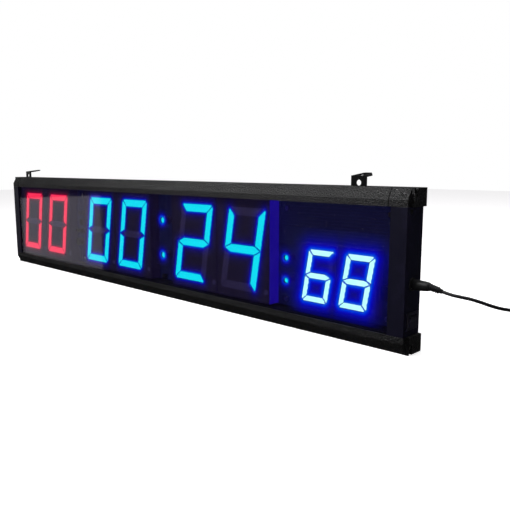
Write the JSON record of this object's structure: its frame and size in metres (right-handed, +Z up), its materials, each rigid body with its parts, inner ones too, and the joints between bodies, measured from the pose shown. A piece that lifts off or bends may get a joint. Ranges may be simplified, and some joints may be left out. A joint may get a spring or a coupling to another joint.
{
  "type": "gym round timer",
  "caption": "Wide wall-hung gym round timer with a slim black frame, smoked lens, lit number modules, sliding hanging brackets, side switch and plug-in power lead.",
  "frame": {"origin": "centre of the flat face that the case stands on, under the middle of its depth", "axes": "+X along the case towards the switch end, +Y to the rear, +Z up"},
  "size_m": [1.0807, 0.0927, 0.1746],
  "materials": {
    "case_texture": "sparkling textured black powder coat",
    "case_satin": "satin black",
    "dark_screws": "black oxide",
    "bright_screws": "zinc plated",
    "plated_brass": "plain",
    "smoked_lens": "smoked acrylic",
    "panel_paint": "satin black",
    "module_plastic": "matt black",
    "red_light": "lit red resin",
    "blue_light": "lit blue resin",
    "unlit_resin": "unlit milky resin",
    "circuit_board": "dark solder mask",
    "component_plastic": "moulded black",
    "switch_plastic": "moulded black",
    "plated_metal": "nickel plated",
    "wire_cover": "smooth wire cover",
    "bracket_steel": "black coated sheet",
    "lead_cover": "soft black cover",
    "adapter_plastic": "textured black shell"
  },
  "bodies": {
    "case": {"adapter_blades": "plated_metal", "adapter_body": "adapter_plastic", "board_links": "component_plastic", "board_screws": "bright_screws", "board_standoffs": "plated_brass", "bottom_profile": "case_texture", "buzzer": "component_plastic", "clock_board": "circuit_board", "clock_unlit_segments": "unlit_resin", "control_board": "circuit_board", "control_board_parts": "component_plastic", "corner_cap_bottom_left": "case_texture", "corner_cap_bottom_right": "case_texture", "corner_cap_top_left": "case_texture", "corner_cap_top_right": "case_texture", "corner_screws": "dark_screws", "dc_plug": "lead_cover", "front_lens": "smoked_lens", "hundredths_board": "circuit_board", "hundredths_colon": "blue_light", "hundredths_tens_module": "module_plastic", "hundredths_tens_segments": "blue_light", "hundredths_units_module": "module_plastic", "hundredths_units_segments": "blue_light", "hundredths_unlit_segments": "unlit_resin", "inlet_nut": "plated_brass", "lead_coil": "lead_cover", "lead_tail": "lead_cover", "lead_tie": "lead_cover", "left_end_profile": "case_satin", "minute_colon": "blue_light", "minutes_tens_module": "module_plastic", "minutes_tens_segments": "blue_light", "minutes_units_module": "module_plastic", "minutes_units_segments": "blue_light", "power_inlet": "component_plastic", "power_lead": "lead_cover", "power_wires": "wire_cover", "rear_panel": "panel_paint", "rear_panel_screws": "dark_screws", "remote_receiver": "component_plastic", "right_end_profile": "case_satin", "rounds_board": "circuit_board", "rounds_tens_module": "module_plastic", "rounds_tens_segments": "red_light", "rounds_units_module": "module_plastic", "rounds_units_segments": "red_light", "rounds_unlit_segments": "unlit_resin", "seconds_tens_module": "module_plastic", "seconds_tens_segments": "blue_light", "seconds_units_module": "module_plastic", "seconds_units_segments": "blue_light", "side_screws": "dark_screws", "switch_frame": "switch_plastic", "switch_terminals": "plated_metal", "top_profile": "case_texture", "wire_terminal": "component_plastic"},
    "rocker": {"switch_rocker": "switch_plastic"},
    "left_hanger": {"bracket_left": "bracket_steel"},
    "right_hanger": {"bracket_right": "bracket_steel"}
  },
  "joints": [
    {"name": "switch_tilt", "type": "hinge", "parent": "case", "child": "rocker", "pos_m": [0.4172, -0.00005, 0.033], "axis": [0, 1, 0], "range_deg": [-16, 0]},
    {"name": "left_hanger_slide", "type": "slide", "parent": "case", "child": "left_hanger", "axis": [1, 0, 0], "range_m": [-0.006, 0.346]},
    {"name": "right_hanger_slide", "type": "slide", "parent": "case", "child": "right_hanger", "axis": [1, 0, 0], "range_m": [-0.321, 0.031]}
  ]
}
